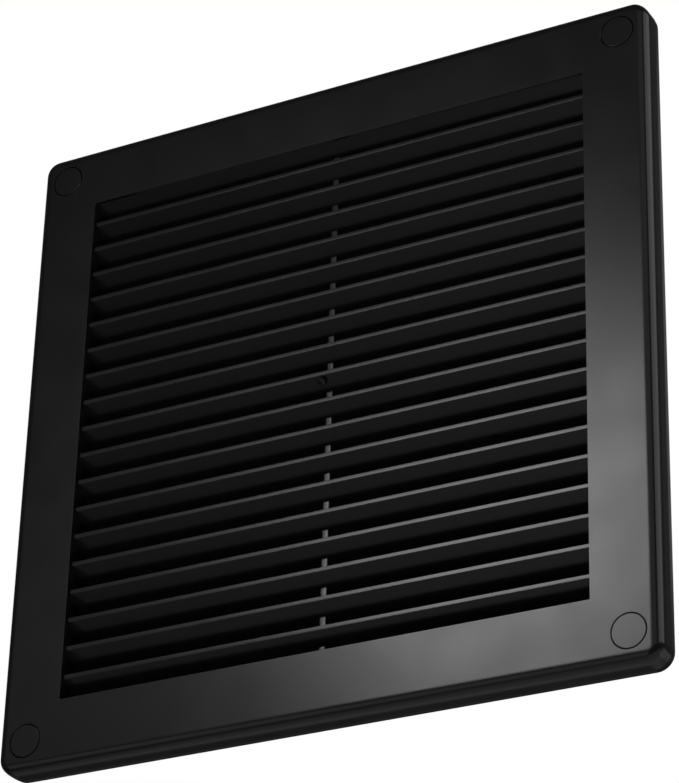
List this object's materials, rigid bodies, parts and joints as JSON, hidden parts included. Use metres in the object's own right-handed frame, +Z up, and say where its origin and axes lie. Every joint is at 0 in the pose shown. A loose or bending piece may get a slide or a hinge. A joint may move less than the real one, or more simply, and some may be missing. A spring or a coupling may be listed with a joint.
{
  "type": "louvred air grille",
  "caption": "Square wall vent grille: flat flange with rounded rim, fixed sloping louvre blades, central comb rib, rear duct collar with insect screen, and capped corner screws.",
  "frame": {"origin": "centre of the square flange on the wall plane, where the rim's back edge lies", "axes": "+Z up, -Y out of the wall towards the viewer, +Y into the wall along the collar, +X to the right seen from the front"},
  "size_m": [0.25, 0.0245, 0.25],
  "materials": {
    "frame_plastic": "satin black moulded plastic with a fine even grain",
    "louvre_plastic": "satin black moulded plastic",
    "cap_plastic": "satin black moulded plastic",
    "screen_frame_plastic": "matt black moulded plastic",
    "screen_net": "matt charcoal plastic net with bonded crossings",
    "screw_steel": "bright zinc plated steel"
  },
  "bodies": {
    "grille": {"front_frame": "frame_plastic", "louvre_blade_01": "louvre_plastic", "louvre_blade_02": "louvre_plastic", "louvre_blade_03": "louvre_plastic", "louvre_blade_04": "louvre_plastic", "louvre_blade_05": "louvre_plastic", "louvre_blade_06": "louvre_plastic", "louvre_blade_07": "louvre_plastic", "louvre_blade_08": "louvre_plastic", "louvre_blade_09": "louvre_plastic", "louvre_blade_10": "louvre_plastic", "louvre_blade_11": "louvre_plastic", "louvre_blade_12": "louvre_plastic", "louvre_blade_13": "louvre_plastic", "louvre_blade_14": "louvre_plastic", "louvre_blade_15": "louvre_plastic", "louvre_blade_16": "louvre_plastic", "louvre_blade_17": "louvre_plastic", "louvre_blade_18": "louvre_plastic", "comb_rib": "louvre_plastic", "fixing_screw_top_left": "screw_steel", "fixing_screw_top_right": "screw_steel", "fixing_screw_bottom_left": "screw_steel", "fixing_screw_bottom_right": "screw_steel"},
    "cap_top_left": {"screw_cap_top_left": "cap_plastic"},
    "cap_top_right": {"screw_cap_top_right": "cap_plastic"},
    "cap_bottom_left": {"screw_cap_bottom_left": "cap_plastic"},
    "cap_bottom_right": {"screw_cap_bottom_right": "cap_plastic"},
    "screen": {"screen_frame": "screen_frame_plastic", "insect_screen": "screen_net"}
  },
  "joints": [
    {"name": "cap_pull_top_left", "type": "slide", "parent": "grille", "child": "cap_top_left", "axis": [0, -1, 0], "range_m": [0, 0.018]},
    {"name": "cap_pull_top_right", "type": "slide", "parent": "grille", "child": "cap_top_right", "axis": [0, -1, 0], "range_m": [0, 0.018]},
    {"name": "cap_pull_bottom_left", "type": "slide", "parent": "grille", "child": "cap_bottom_left", "axis": [0, -1, 0], "range_m": [0, 0.018]},
    {"name": "cap_pull_bottom_right", "type": "slide", "parent": "grille", "child": "cap_bottom_right", "axis": [0, -1, 0], "range_m": [0, 0.018]},
    {"name": "screen_pull", "type": "slide", "parent": "grille", "child": "screen", "axis": [0, 1, 0], "range_m": [0, 0.03]}
  ]
}
